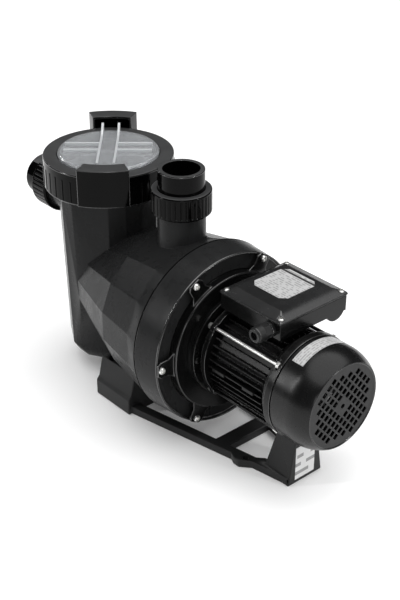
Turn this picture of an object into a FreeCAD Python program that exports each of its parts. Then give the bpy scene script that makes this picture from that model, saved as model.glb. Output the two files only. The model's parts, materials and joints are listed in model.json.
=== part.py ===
import FreeCAD, Part
import math
import os
import Sketcher
from FreeCAD import Placement, Rotation, Vector

# Pool pump: a strainer pot and a centrifugal wet end on one base frame, driven by
# a finned motor. X runs along the shaft from the suction union (-X) to the fan
# cover (+X), Z is up, the shaft lies in the plane Y = 0, and the origin is the
# middle of the footprint, on the floor.

doc = FreeCAD.newDocument("pool_pump")
dim = doc.addObject("Spreadsheet::Sheet", "dim")

SIZES = (
    # stations along the shaft
    ("end_x", 318.0, "fan cover end, and the suction socket end at -X"),
    ("pot_x", -147.5, "axis of the strainer pot"),
    ("outlet_x", 11.7, "axis of the discharge union"),
    ("cone_start_x", -150.0, "inner end of the faceted cone, inside the pot"),
    ("cone_mid_x", -30.0, "middle ring of the faceted cone"),
    ("cone_end_x", 39.0, "last ring of the faceted cone"),
    ("seam_x", 63.0, "seam between pump body and volute ring"),
    ("rim_x", 106.3, "rear edge of the volute ring"),
    ("lug_x", 110.0, "rear face of the six flange lugs"),
    ("plate_x", 114.6, "rear face of the seal plate"),
    ("shield_x", 116.1, "flange face of the motor's front shield"),
    ("housing_x", 138.1, "front of the finned motor housing"),
    ("rear_x", 241.0, "front of the rear shield"),
    ("band_x", 248.0, "front of the rear shield's band"),
    ("cover_x", 260.0, "front edge of the fan cover"),
    # wet end, radii about the shaft
    ("shaft_z", 145.0, "height of the shaft"),
    ("cone_start_r", 68.3, "corner radius of the cone inside the pot"),
    ("cone_mid_r", 110.2, "corner radius of the cone's middle ring"),
    ("cone_end_r", 121.7, "corner radius of the cone's last ring"),
    ("drum_r", 127.0, "volute ring at the seam"),
    ("rim_r", 124.2, "volute ring at its rear edge"),
    ("ring_bore_r", 99.2, "bore of the volute ring"),
    ("plate_r", 98.7, "seal plate"),
    ("screw_circle_r", 118.1, "circle of the six flange screws"),
    ("lug_r", 124.8, "outer end of the flange lugs"),
    # strainer pot
    ("pot_foot_z", 26.0, "underside of the pot"),
    ("pot_low_z", 43.0, "top of the pot's bottom chamfer"),
    ("pot_top_z", 288.0, "top of the faceted pot"),
    ("pot_foot_r", 60.0, "corner radius of the pot's underside"),
    ("pot_low_r", 70.5, "corner radius above the bottom chamfer"),
    ("pot_top_r", 77.0, "corner radius at the top"),
    ("pot_well_r", 65.0, "inside of the pot at the top"),
    ("pot_well_low_r", 60.0, "inside of the pot at the bottom"),
    ("collar_z", 320.0, "top of the collar that carries the lid"),
    ("collar_r", 86.3, "collar under the lock ring"),
    ("mouth_r", 72.0, "mouth of the pot above the basket ledge"),
    ("ledge_z", 300.0, "ledge that carries the basket"),
    # lock ring and lid
    ("ring_r", 92.5, "lock ring"),
    ("ring_in_r", 86.8, "lock ring bore over the collar"),
    ("ring_hole_r", 72.8, "opening in the lock ring's top"),
    ("ring_low_z", 290.0, "lower edge of the lock ring"),
    ("ring_top_z", 335.0, "top of the lock ring"),
    ("ring_plate", 7.5, "thickness of the lock ring's top"),
    ("tab_top_z", 353.5, "top of the two grip tabs"),
    ("tab_low_z", 300.0, "lower edge of the grip tabs"),
    ("tab_r", 113.0, "outer face of the grip tabs"),
    ("tab_width", 71.0, "width of a grip tab"),
    ("tab_wall", 4.0, "wall of a grip tab"),
    ("tab_turn", -41.0, "direction of the front tab about the pot axis"),
    ("lid_r", 71.8, "clear dome of the lid"),
    # unions: a 50 mm pipe is glued into each end
    ("union_z", 362.5, "end face of the discharge union"),
    ("suction_z", 246.0, "axis of the suction union"),
    ("socket_r", 25.1, "socket for the 50 mm pipe"),
    ("socket_depth", 31.0, "depth of the pipe socket"),
    ("tail_r", 31.6, "outside of the union end"),
    ("nut_r", 41.0, "union nut over its ribs"),
    ("neck_r", 33.0, "neck below the union thread"),
    ("thread_r", 37.0, "outside of the union thread"),
    # motor
    ("shaft_r", 8.5, "shaft in its bearings"),
    ("bearing_r", 20.0, "outside of the 6203 bearings"),
    ("bore_r", 52.1, "bore of the motor housing"),
    ("root_r", 57.0, "housing between the fins"),
    ("fin_r", 65.0, "tips of the fins"),
    ("fin_count", 40.0, "cooling fins"),
    ("rod_circle_r", 68.0, "circle of the four tie rods"),
    ("rod_r", 2.5, "tie rods"),
    ("band_r", 71.0, "rear shield's band"),
    ("cover_r", 70.0, "fan cover"),
    ("face_r", 59.4, "flat end of the fan cover"),
    # terminal box
    ("box_x", 128.5, "front side of the box lid"),
    ("box_long", 111.5, "length of the box lid"),
    ("box_y", -36.0, "near side of the box lid"),
    ("box_wide", 120.0, "width of the box lid"),
    ("box_low_z", 216.0, "underside of the terminal box"),
    ("box_top_z", 238.0, "rim of the terminal box"),
    ("lid_top_z", 248.0, "top of the box lid"),
    ("gland_x", 222.0, "axis of the cable gland"),
    ("gland_z", 227.5, "height of the cable gland"),
    # base frame
    ("foot_x", -80.0, "front of the base frame"),
    ("foot_long", 76.0, "length of the front foot"),
    ("foot_y", 88.0, "half width of the front foot"),
    ("rail_z", 12.0, "height of the rails"),
    ("block_x", 213.0, "front of the rear block"),
    ("block_end_x", 260.0, "rear face of the base"),
    ("fix_front_x", -62.0, "front fixing holes"),
    ("fix_front_y", 66.0, "half spacing of the front fixing holes"),
    ("fix_rear_x", 189.0, "rear fixing holes"),
    ("fix_rear_y", 41.0, "half spacing of the rear fixing holes"),
    ("fix_r", 4.5, "radius of the fixing holes"),
)

for row, (alias, value, meaning) in enumerate(SIZES, start=1):
    dim.set("A%d" % row, meaning)
    dim.set("B%d" % row, str(value))
    dim.setAlias("B%d" % row, alias)
doc.recompute()

SHAFT_LINE = "X_Axis"
UPRIGHT = "Z_Axis"
GAP = 0.3       # clearance between pieces that don't touch
FIT = 0.05      # clearance of a running fit
parts = []      # every sub-part, in the order it is made


def number(value):
    """The value of an expression such as 'dim.shaft_z + 4', or of a plain number."""
    found = dim.evalExpression(str(value))
    return float(getattr(found, "Value", found))


def bind(thing, prop, value):
    """Bind a property to an expression."""
    thing.setExpression(prop, str(value))


def plus(value, more):
    return "(%s) + (%s)" % (value, more)


def place(thing, x=0, y=0, z=0, axis=None, angle=0):
    """Put an object at x, y, z, turned about an axis; each place is an expression."""
    if axis is not None:
        thing.Placement = Placement(Vector(), Rotation(Vector(*axis), angle))
    for name, value in (("x", x), ("y", y), ("z", z)):
        bind(thing, "Placement.Base." + name, value)


def body(name, x=0, y=0, z=0, axis=None, angle=0):
    """Start a sub-part as a PartDesign body at a place."""
    made = doc.addObject("PartDesign::Body", name)
    made.Label = name
    made.AllowCompound = True
    place(made, x, y, z, axis, angle)
    parts.append(made)
    return made


def origin_of(part, role):
    return next(f for f in part.Origin.OriginFeatures if f.Role == role)


def sketch(part, name, plane, offset=0):
    """A sketch on one of the body's own origin planes, moved along its normal."""
    made = part.newObject("Sketcher::SketchObject", name)
    made.AttachmentSupport = [(origin_of(part, plane), "")]
    made.MapMode = "FlatFace"
    bind(made, "AttachmentOffset.Base.z", offset)
    return made


def pin(made, edge, end, way, value):
    """Fix one coordinate of a point of a sketch to an expression."""
    axis = -2 if way == "DistanceX" else -1
    if abs(number(value)) < 1e-9:
        made.addConstraint(Sketcher.Constraint("PointOnObject", edge, end, axis))
        return
    index = made.addConstraint(Sketcher.Constraint(way, -1, 1, edge, end, number(value)))
    made.setExpression("Constraints[%d]" % index, str(value))


def outline(made, points):
    """A closed outline through points given by expressions.

    A third value is the radius of an arc from that point to the next, bulging to the
    left of the way it runs; without one the stretch is straight.
    """
    count = len(points)
    flat = [Vector(number(p[0]), number(p[1]), 0) for p in points]
    for i in range(count):
        first, last = flat[i], flat[(i + 1) % count]
        if len(points[i]) < 3:
            made.addGeometry(Part.LineSegment(first, last), False)
            continue
        chord = last - first
        size = number(points[i][2])
        side = Vector(-chord.y, chord.x, 0).normalize()
        rise = size - math.sqrt(size ** 2 - (chord.Length / 2) ** 2)
        made.addGeometry(Part.Arc(first, (first + last) / 2 + side * rise, last), False)
    for i in range(count):
        after = (i + 1) % count
        made.addConstraint(Sketcher.Constraint("Coincident", i, end_of(made, i, flat[after]),
                                               after, end_of(made, after, flat[after])))
    for i, point in enumerate(points):
        end = end_of(made, i, flat[i])
        pin(made, i, end, "DistanceX", point[0])
        pin(made, i, end, "DistanceY", point[1])
        if len(point) > 2:
            index = made.addConstraint(Sketcher.Constraint("Radius", i, number(point[2])))
            made.setExpression("Constraints[%d]" % index, str(point[2]))


def end_of(made, edge, point):
    """Which end of an edge lies at a point: 1 or 2. Sketcher stores every arc anticlockwise."""
    return 1 if (made.getPoint(edge, 1) - point).Length < 1e-6 else 2


def hole(made, x, y, radius):
    """A circle in a sketch."""
    edge = made.addGeometry(Part.Circle(Vector(number(x), number(y), 0), Vector(0, 0, 1),
                                        number(radius)), False)
    pin(made, edge, 3, "DistanceX", x)
    pin(made, edge, 3, "DistanceY", y)
    index = made.addConstraint(Sketcher.Constraint("Radius", edge, number(radius)))
    made.setExpression("Constraints[%d]" % index, str(radius))


def turned(part, name, points, line="H_Axis", cut=False, angle=360, at=0):
    """Turn an outline in the XZ plane about the body's X axis or, with V_Axis, its Z axis.

    The first value of a point runs along X and the second along Z. With at, the axis is
    moved off the body's own axis by that much, and the outline is moved with it.
    """
    made = sketch(part, name + "_outline", "XZ_Plane")
    level = line == "H_Axis"
    if at:
        points = [(p[0], plus(at, p[1])) if level else (plus(at, p[0]), p[1]) for p in points]
    outline(made, points)
    if at:
        line = moved_axis(made, level, at)
    kind = "PartDesign::Groove" if cut else "PartDesign::Revolution"
    feature = part.newObject(kind, name)
    feature.Profile = made
    feature.ReferenceAxis = (made, [line])
    feature.Angle = angle
    part.Tip = feature
    return feature


def moved_axis(made, level, at):
    """A construction line at a distance from the sketch's horizontal or upright axis."""
    start = Vector(0, number(at), 0) if level else Vector(number(at), 0, 0)
    step = Vector(50, 0, 0) if level else Vector(0, 50, 0)
    line = made.addGeometry(Part.LineSegment(start, start + step), True)
    made.addConstraint(Sketcher.Constraint("Horizontal" if level else "Vertical", line))
    pin(made, line, 1, "DistanceX", 0 if level else at)
    pin(made, line, 1, "DistanceY", at if level else 0)
    made.addConstraint(Sketcher.Constraint("DistanceX" if level else "DistanceY",
                                           line, 1, line, 2, 50))
    return "Axis0"


def padded(part, name, plane, points, length, offset=0, holes=(), both=False, cut=False):
    """Pad an outline off an origin plane, or cut it away."""
    made = sketch(part, name + "_outline", plane, offset)
    outline(made, points)
    for x, y, radius in holes:
        hole(made, x, y, radius)
    feature = part.newObject("PartDesign::Pocket" if cut else "PartDesign::Pad", name)
    feature.Profile = made
    bind(feature, "Length", length)
    if both:
        feature.Midplane = True
    part.Tip = feature
    return feature


def rectangle(low_x, low_y, high_x, high_y):
    return [(low_x, low_y), (high_x, low_y), (high_x, high_y), (low_x, high_y)]


def round_bar(part, name, radius, length, x=0, y=0, z=0, axis=None, angle=0, cut=False):
    """Add or cut a cylinder that starts at x, y, z and runs along +Z before it is turned."""
    kind = "PartDesign::SubtractiveCylinder" if cut else "PartDesign::AdditiveCylinder"
    feature = part.newObject(kind, name)
    bind(feature, "Radius", radius)
    bind(feature, "Height", length)
    place(feature, x, y, z, axis, angle)
    part.Tip = feature
    return feature


def block(part, name, length, width, height, x=0, y=0, z=0, axis=None, angle=0, cut=False):
    """Add or cut a box whose low corner is at x, y, z."""
    kind = "PartDesign::SubtractiveBox" if cut else "PartDesign::AdditiveBox"
    feature = part.newObject(kind, name)
    bind(feature, "Length", length)
    bind(feature, "Width", width)
    bind(feature, "Height", height)
    place(feature, x, y, z, axis, angle)
    part.Tip = feature
    return feature


def around(part, name, features, count, axis=SHAFT_LINE, angle=360):
    """Repeat features about one of the body's own axes."""
    pattern = part.newObject("PartDesign::PolarPattern", name)
    pattern.Originals = features
    pattern.Axis = (origin_of(part, axis), [""])
    pattern.Angle = angle
    bind(pattern, "Occurrences", count)
    part.Tip = pattern
    return pattern


def polygon(radius, angles):
    """Corners at a radius and at angles in degrees."""
    return [("(%s) * cos(%.6f deg)" % (radius, a), "(%s) * sin(%.6f deg)" % (radius, a))
            for a in angles]


def loft(part, name, sections):
    """A straight-sided loft through sketches."""
    feature = part.newObject("PartDesign::AdditiveLoft", name)
    feature.Profile = sections[0]
    feature.Sections = sections[1:]
    feature.Ruled = True
    part.Tip = feature
    return feature


def torus(name, ring_radius, cord_radius, x=0, y=0, z=0, axis=None, angle=0):
    """An O-ring whose axis is Z before it is turned."""
    made = doc.addObject("Part::Torus", name)
    made.Label = name
    bind(made, "Radius1", ring_radius)
    bind(made, "Radius2", cord_radius)
    place(made, x, y, z, axis, angle)
    parts.append(made)
    return made


ALONG_X = {"axis": (0, 1, 0), "angle": 90}      # turns +Z to +X
AGAINST_X = {"axis": (0, 1, 0), "angle": -90}   # turns +Z to -X
AGAINST_Y = {"axis": (1, 0, 0), "angle": 90}    # turns +Z to -Y

# Unions ---------------------------------------------------------------------------
# Each union is described along its own axis, as a distance back from its end face.

UNION_NUT_FAR = 27.5        # end face to the outer side of the nut
UNION_NUT_NEAR = 61.5       # end face to the inner side of the nut
UNION_LIP = 3.4             # lip of the nut over the flange of the union end
UNION_FLANGE = 4.4          # flange of the union end
NECK_FACE = 36.0            # end face to the face of the neck
THREAD_LOW = 59.5           # end face to the foot of the thread
SCREW_R = 3.0               # M6 screws
BASE_SCREW_X = -20.0
SCREW_Y = 30.0
BOSS_Z = 36.3               # underside of the bosses for the base screws
DRAIN_R = 6.0               # drain plug thread
O_RING_R = 29.5
O_RING_CORD = 1.85
O_RING_DEPTH = 3.4


def union_neck(part, name, foot, **turn):
    """A neck with its thread, from foot (a distance back from the end face) to its face."""
    round_bar(part, name + "_neck", "dim.neck_r", foot - NECK_FACE, **turn["neck"])
    round_bar(part, name + "_thread", "dim.thread_r", THREAD_LOW - NECK_FACE, **turn["thread"])


def union_parts(side, x, z, turn):
    """Union nut, union end and O-ring; the end face is at x, z and faces +Z before the turn."""
    nut = body(side + "_nut", x, 0, z, **turn)
    turned(nut, "shell", [
        ("dim.tail_r + 0.5", -UNION_NUT_FAR),
        ("dim.nut_r - 1.5", -UNION_NUT_FAR),
        ("dim.nut_r", -UNION_NUT_FAR - 1.5),
        ("dim.nut_r", 2.0 - UNION_NUT_NEAR),
        ("dim.nut_r - 3", -UNION_NUT_NEAR),
        ("dim.thread_r + 0.4", -UNION_NUT_NEAR),
        ("dim.thread_r + 0.4", -UNION_NUT_FAR - UNION_LIP),
        ("dim.tail_r + 0.5", -UNION_NUT_FAR - UNION_LIP),
    ], "V_Axis")
    groove = round_bar(nut, "flute", 1.6, UNION_NUT_NEAR - UNION_NUT_FAR - 9,
                       "dim.nut_r + 1", 0, 4.5 - UNION_NUT_NEAR, cut=True)
    around(nut, "flutes", [groove], 36, UPRIGHT)

    end = body(side + "_union_end", x, 0, z, **turn)
    flange_top = -UNION_NUT_FAR - UNION_LIP - GAP
    turned(end, "shell", [
        ("dim.socket_r", 0),
        ("dim.tail_r - 0.8", 0),
        ("dim.tail_r", -0.8),
        ("dim.tail_r", flange_top),
        ("dim.thread_r", flange_top),
        ("dim.thread_r", flange_top - UNION_FLANGE),
        ("dim.socket_r - 2.1", flange_top - UNION_FLANGE),
        ("dim.socket_r - 2.1", "-dim.socket_depth"),
        ("dim.socket_r", "-dim.socket_depth"),
    ], "V_Axis")

    ring = torus(side + "_o_ring", O_RING_R, O_RING_CORD, x, 0, z, **turn)
    shift = O_RING_CORD + FIT - NECK_FACE - O_RING_DEPTH
    if side == "discharge":
        bind(ring, "Placement.Base.z", plus(z, shift))
    else:
        bind(ring, "Placement.Base.x", plus(x, -shift))


# Pump body: strainer pot, faceted cone, discharge and suction necks ---------------------

def chamfered_hexagon():
    """Corner angles of a hexagon with flattened corners: wide sides face 0, 60, 120 ..."""
    half_wide = 20.5
    angles = []
    for side in range(6):
        angles += [60 * side - half_wide, 60 * side + half_wide]
    return angles


FACET = 22.5      # one of the sixteen facets of the cone, in degrees


def cone_angles():
    return [FACET / 2 + FACET * i for i in range(16)]


def pump_body():
    part = body("pump_body")
    # faceted pot
    levels = []
    for name, height, radius in (("pot_foot", "dim.pot_foot_z", "dim.pot_foot_r"),
                                 ("pot_low", "dim.pot_low_z", "dim.pot_low_r"),
                                 ("pot_top", "dim.pot_top_z", "dim.pot_top_r")):
        made = sketch(part, name, "XY_Plane", height)
        outline(made, [(plus("dim.pot_x", x), y) for x, y in polygon(radius, chamfered_hexagon())])
        levels.append(made)
    loft(part, "pot", levels)
    round_bar(part, "collar", "dim.collar_r", "dim.collar_z - 293", "dim.pot_x", 0, 293)
    cone = part.newObject("PartDesign::AdditiveCone", "collar_foot")
    bind(cone, "Radius1", "dim.pot_top_r - 3")
    bind(cone, "Radius2", "dim.collar_r")
    bind(cone, "Height", 9)
    place(cone, "dim.pot_x", 0, 284)
    part.Tip = cone
    # the cone: a sixteen-sided shell that widens from the pot to the volute
    rings = []
    for name, x, radius in (("cone_start", "dim.cone_start_x", "dim.cone_start_r"),
                            ("cone_mid", "dim.cone_mid_x", "dim.cone_mid_r"),
                            ("cone_end", "dim.cone_end_x", "dim.cone_end_r")):
        made = sketch(part, name, "YZ_Plane", x)
        outline(made, [(y, plus("dim.shaft_z", z)) for y, z in polygon(radius, cone_angles())])
        rings.append(made)
    loft(part, "faceted_cone", rings)
    # the facets run out into the round drum
    last = sketch(part, "drum_start", "YZ_Plane", "dim.cone_end_x")
    outline(last, [(y, plus("dim.shaft_z", z)) for y, z in polygon("dim.cone_end_r", cone_angles())])
    circle = sketch(part, "drum_seam", "YZ_Plane", "dim.seam_x")
    arcs(circle, "dim.shaft_z", "dim.drum_r", cone_angles())
    loft(part, "drum_blend", [last, circle])
    # discharge neck, straight up from the cone
    union_neck(part, "discharge", 130.0,
               neck={"x": "dim.outlet_x", "z": "dim.union_z - 130"},
               thread={"x": "dim.outlet_x", "z": "dim.union_z - %s" % THREAD_LOW})
    # suction boss and neck on the pot's -X side
    block(part, "suction_boss", 30, 74, "dim.pot_top_z - 202", "dim.pot_x - 75", -37, 202)
    union_neck(part, "suction", 110.0,
               neck={"x": "110 - dim.end_x", "z": "dim.suction_z", **AGAINST_X},
               thread={"x": "%s - dim.end_x" % THREAD_LOW, "z": "dim.suction_z", **AGAINST_X})
    # bosses for the two base screws
    for side, y in (("near", -SCREW_Y), ("far", SCREW_Y)):
        round_bar(part, side + "_screw_boss", 9, 9, BASE_SCREW_X, y, BOSS_Z)
    # inside
    turned(part, "well", [
        (0, "dim.pot_foot_z + 8"),
        ("dim.pot_well_low_r - 6", "dim.pot_foot_z + 8"),
        ("dim.pot_well_low_r", "dim.pot_low_z + 4"),
        ("dim.pot_well_r", "dim.ledge_z"),
        ("dim.mouth_r", "dim.ledge_z"),
        ("dim.mouth_r", "dim.collar_z + 1"),
        (0, "dim.collar_z + 1"),
    ], "V_Axis", cut=True, at="dim.pot_x")
    turned(part, "lid_seal_groove", rectangle(76, "dim.collar_z - 4.6", 82, "dim.collar_z + 1"),
           "V_Axis", cut=True, at="dim.pot_x")
    turned(part, "chamber", [
        (-68, 0),
        (-68, 86),
        ("dim.cone_mid_x", "dim.cone_mid_r - 8"),
        ("dim.cone_end_x", "dim.cone_end_r - 8"),
        ("dim.seam_x + 1", "dim.drum_r - 7"),
        ("dim.seam_x + 1", 0),
    ], cut=True, at="dim.shaft_z")
    round_bar(part, "eye", 35.5, 40, -100, 0, "dim.shaft_z", cut=True, **ALONG_X)
    round_bar(part, "discharge_bore", "dim.socket_r - 2.1", 160, "dim.outlet_x", 0,
              "dim.union_z - 170", cut=True)
    round_bar(part, "suction_bore", "dim.socket_r - 2.1", 130, "160 - dim.end_x", 0,
              "dim.suction_z", cut=True, **AGAINST_X)
    for name, where in (("discharge", {"x": "dim.outlet_x", "z": "dim.union_z - %s" % NECK_FACE}),
                        ("suction", {"x": "%s - dim.end_x" % NECK_FACE, "z": "dim.suction_z"})):
        seat_groove(part, name + "_seat", where)
    drain_hole(part, "dim.pot_x", "dim.pot_foot_z")
    for side, y in (("near", -SCREW_Y), ("far", SCREW_Y)):
        round_bar(part, side + "_screw_hole", SCREW_R + FIT, 8.5, BASE_SCREW_X, y, 36, cut=True)
    return part


def arcs(made, height, radius, angles):
    """A circle about the shaft drawn as one arc between each two angles."""
    centre = Vector(0, number(height), 0)
    size = number(radius)
    count = len(angles)
    for i in range(count):
        first = math.radians(angles[i])
        last = math.radians(angles[(i + 1) % count] + (360 if i == count - 1 else 0))
        ring = Part.Circle(centre, Vector(0, 0, 1), size)
        made.addGeometry(Part.ArcOfCircle(ring, first, last), False)
    for i in range(count):
        made.addConstraint(Sketcher.Constraint("Coincident", i, 2, (i + 1) % count, 1))
        if i:
            made.addConstraint(Sketcher.Constraint("Coincident", i, 3, 0, 3))
    pin(made, 0, 3, "DistanceX", 0)
    pin(made, 0, 3, "DistanceY", height)
    index = made.addConstraint(Sketcher.Constraint("Radius", 0, size))
    made.setExpression("Constraints[%d]" % index, str(radius))
    for i, angle in enumerate(angles):
        if abs(math.sin(math.radians(angle))) < 0.7:
            pin(made, i, 1, "DistanceY", "(%s) + (%s) * sin(%.6f deg)" % (height, radius, angle))
        else:
            pin(made, i, 1, "DistanceX", "(%s) * cos(%.6f deg)" % (radius, angle))


def seat_groove(part, name, where):
    """Groove for the union's O-ring in the face of a neck: a ring cut 3.4 mm deep."""
    outer = O_RING_R + O_RING_CORD + 0.25
    inner = O_RING_R - O_RING_CORD - 0.25
    if "suction" in name:
        made = sketch(part, name + "_outline", "YZ_Plane", where["x"])
        centre = (0, where["z"])
    else:
        made = sketch(part, name + "_outline", "XY_Plane", where["z"])
        centre = (where["x"], 0)
    hole(made, centre[0], centre[1], outer)
    hole(made, centre[0], centre[1], inner)
    feature = part.newObject("PartDesign::Pocket", name)
    feature.Profile = made
    feature.Length = O_RING_DEPTH
    feature.Reversed = "suction" in name
    part.Tip = feature
    return feature


def drain_hole(part, x, z):
    """Threaded drain hole with a recess for its O-ring, in a face that looks down."""
    round_bar(part, "drain_hole", DRAIN_R + FIT, 18, x, 0, plus(z, -2), cut=True)
    round_bar(part, "drain_recess", 8.8, 4.4, x, 0, plus(z, -2), cut=True)


def drain_plug(side, x, z):
    """Drain plug, screwed up into a face at height z, and its O-ring."""
    plug = body(side + "_drain_plug", x, 0, z)
    turned(plug, "plug", [
        (0, 9),
        (DRAIN_R - 1, 9),
        (DRAIN_R, 8),
        (DRAIN_R, -0.3),
        (9.5, -0.3),
        (9.5, -5),
        (8.5, -6),
        (0, -6),
    ], "V_Axis")
    block(plug, "slot", 20, 2.4, 3, -10, -1.2, -6.5, cut=True)
    torus(side + "_drain_o_ring", 7.45, 1.1, x, 0, plus(z, 0.95))


def ring_of_bars(part, name, radius, length, x, circle, count, cut=False, turn=0):
    """Bars (or holes) along X on a circle about the shaft."""
    first = round_bar(part, name, radius, length, x,
                      "(%s) * cos(%s deg)" % (circle, turn),
                      "(%s) * sin(%s deg)" % (circle, turn), cut=cut, **ALONG_X)
    return around(part, name + "s", [first], count)


def shaft_body(name):
    """A body whose own X axis is the shaft line."""
    return body(name, 0, 0, "dim.shaft_z")


def pot_body(name, turn=0):
    """A body whose own Z axis is the pot axis."""
    return body(name, "dim.pot_x", 0, 0, (0, 0, 1), turn)


# Volute ring, seal plate and what is between them -----------------------------------------

BOSS_CIRCLE = 115.0
PLATE_BOLT_CIRCLE = 67.0


def volute_ring():
    part = shaft_body("volute_ring")
    turned(part, "ring", [
        ("dim.seam_x", "dim.drum_r - 0.6"),
        ("dim.seam_x + 0.6", "dim.drum_r"),
        ("dim.rim_x - 1", "dim.rim_r"),
        ("dim.rim_x", "dim.rim_r - 1"),
        ("dim.rim_x", 121.5),
        (102, 121.5),
        (102, "dim.ring_bore_r"),
        (82, "dim.ring_bore_r"),
        (82, 111),
        ("dim.seam_x", "dim.drum_r - 7"),
    ])
    ring_of_bars(part, "boss", 6, 4.3, 102, BOSS_CIRCLE, 6)
    ring_of_bars(part, "screw_hole", SCREW_R + FIT, 23, 84, "dim.screw_circle_r", 6, cut=True)


def seal_plate():
    part = shaft_body("seal_plate")
    turned(part, "plate", [
        (84, 93),
        (84, "dim.plate_r"),
        (88, "dim.plate_r"),
        (88, 94.6),
        (93, 94.6),
        (93, "dim.plate_r"),
        ("dim.plate_x - 0.8", "dim.plate_r"),
        ("dim.plate_x", "dim.plate_r - 0.8"),
        ("dim.plate_x", 78),
        (116, 75),
        (116, 46),
        (109, 44),
        (109, 24),
        (113, 22),
        (113, 10),
        (104.1, 10),
        (104.1, 17.1),
        (94, 17.1),
        (94, 24),
        (101, 28),
        (101, 90),
        (97, 93),
    ])
    lug = padded(part, "lug", "YZ_Plane", [
        (97, -18),
        (107, -12),
        (119, -12),
        ("dim.lug_r - 0.5", -8),
        ("dim.lug_r - 0.5", 8),
        (119, 12),
        (107, 12),
        (97, 18),
    ], 3.5, "dim.lug_x - 3.5")
    around(part, "lugs", [lug], 6)
    ring_of_bars(part, "screw_hole", SCREW_R + 0.3, 8, 104, "dim.screw_circle_r", 6, cut=True)
    ring_of_bars(part, "shield_bolt_hole", SCREW_R + FIT, 11, 107, PLATE_BOLT_CIRCLE, 4, cut=True)


def screw_ring(name, head_x, reach, circle, count):
    """Button-head screws on a circle about the shaft, driven towards -X; the first is at +Y."""
    part = body(name, 0, 0, "dim.shaft_z", (1, 0, 0), -90)
    screw = turned(part, "screw", [
        (plus(head_x, 1.4), 0),
        (plus(head_x, 1.4), 2),
        (plus(head_x, 3), 2),
        (plus(head_x, 3), 3),
        (plus(head_x, 1.8), 4.7),
        (plus(head_x, 0), 5),
        (plus(head_x, 0), SCREW_R),
        (plus(head_x, -reach), SCREW_R),
        (plus(head_x, -reach), 0),
    ], at=circle)
    around(part, "screws", [screw], count)


def wet_end():
    screw_ring("flange_screws", "dim.lug_x", 24, "dim.screw_circle_r", 6)
    screw_ring("shield_bolts", 121, 12, PLATE_BOLT_CIRCLE, 4)
    torus("body_o_ring", 96.9, 2, 90.5, 0, "dim.shaft_z", **ALONG_X)
    diffuser = shaft_body("diffuser")
    turned(diffuser, "shell", [
        (-84, 27),
        (-84, 30),
        (40, 31.5),
        (44, 40),
        (44, 81),
        (47, 84),
        (97, 84),
        (97, 81),
        (50, 80),
        (50, 27),
    ])
    torus("diffuser_o_ring", 32.9, 2.4, -76, 0, "dim.shaft_z", **ALONG_X)
    seat = shaft_body("seal_seat")
    turned(seat, "seat", [(99.3, 9.8), (99.3, 14), (101, 17), (104, 17), (104, 9.8)])


# Rotating assembly ------------------------------------------------------------------------

VANES = 7
BLADES = 9


def impeller():
    part = shaft_body("impeller")
    turned(part, "shrouds", [
        (52, 23.5),
        (52, 26.3),
        (59, 27.5),
        (61, 32),
        (64, 66),
        (66.5, 66),
        (63.5, 32),
        (62, 23.5),
    ])
    turned(part, "back", [
        (66, 8.05),
        (66, 13),
        (74, 15),
        (79.5, 40),
        (80.5, 66),
        (83.5, 66),
        (83.5, 20),
        (89, 16),
        (89, 8.05),
    ])
    vane = padded(part, "vane", "YZ_Plane", [
        (20, -3),
        (42, -17),
        (65, -10),
        (64.4, -8),
        (42, -14.5),
        (21, 0),
    ], 16.5, 64.5)
    around(part, "vanes", [vane], VANES)


def rotor_parts():
    shaft = shaft_body("shaft")
    turned(shaft, "shaft", [
        (58, 0),
        (58, 5),
        (66, 5),
        (66, 8),
        (120, 8),
        (120, "dim.shaft_r"),
        (138, "dim.shaft_r"),
        (138, 10),
        (242, 10),
        (242, "dim.shaft_r"),
        (257, "dim.shaft_r"),
        (257, 8),
        (292, 8),
        (292, 0),
    ])
    cap = shaft_body("impeller_nut")
    padded(cap, "nut", "YZ_Plane", polygon(8.5, [60 * i for i in range(6)]), 7.5, 58.4,
           holes=((0, 0, 5 + FIT),))
    turned(cap, "dome", [(52, 0), (52, 3), (55, 7), (58.4, 7.3), (58.4, 5.4), (57.7, 5.4), (57.7, 0)])
    impeller()
    seal = shaft_body("seal_head")
    turned(seal, "head", [(90, 8.1), (90, 12), (93, 12), (93, 15), (97, 15), (99.2, 13.5), (99.2, 8.1)])
    slinger = shaft_body("slinger")
    turned(slinger, "ring", [(114.5, 8.05), (114.5, 11), (116, 12), (116, 15), (118, 15), (118, 8.05)])
    rotor = shaft_body("rotor")
    turned(rotor, "core", [(156, 10.05), (156, 27), (160, 29.4), (220, 29.4), (224, 27), (224, 10.05)])
    fan = shaft_body("cooling_fan")
    turned(fan, "hub", [(266, 8.05), (266, 14), (270, 18), (270, 40), (272.5, 40), (276, 16),
                        (290, 14), (290, 8.05)])
    blade = block(fan, "blade", 15, 2, 47, 271, -1, 13)
    around(fan, "blades", [blade], BLADES)


# Motor ------------------------------------------------------------------------------------

def ball_bearing(name, x):
    part = shaft_body(name)
    turned(part, "inner_race", rectangle(x, "dim.shaft_r + %s" % FIT, plus(x, 12), 11.3))
    turned(part, "outer_race", rectangle(x, 16.7, plus(x, 12), "dim.bearing_r"))
    ball = part.newObject("PartDesign::AdditiveSphere", "ball")
    ball.Radius = 2.6
    place(ball, plus(x, 6), 14, 0)
    part.Tip = ball
    around(part, "balls", [ball], 8)


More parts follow.
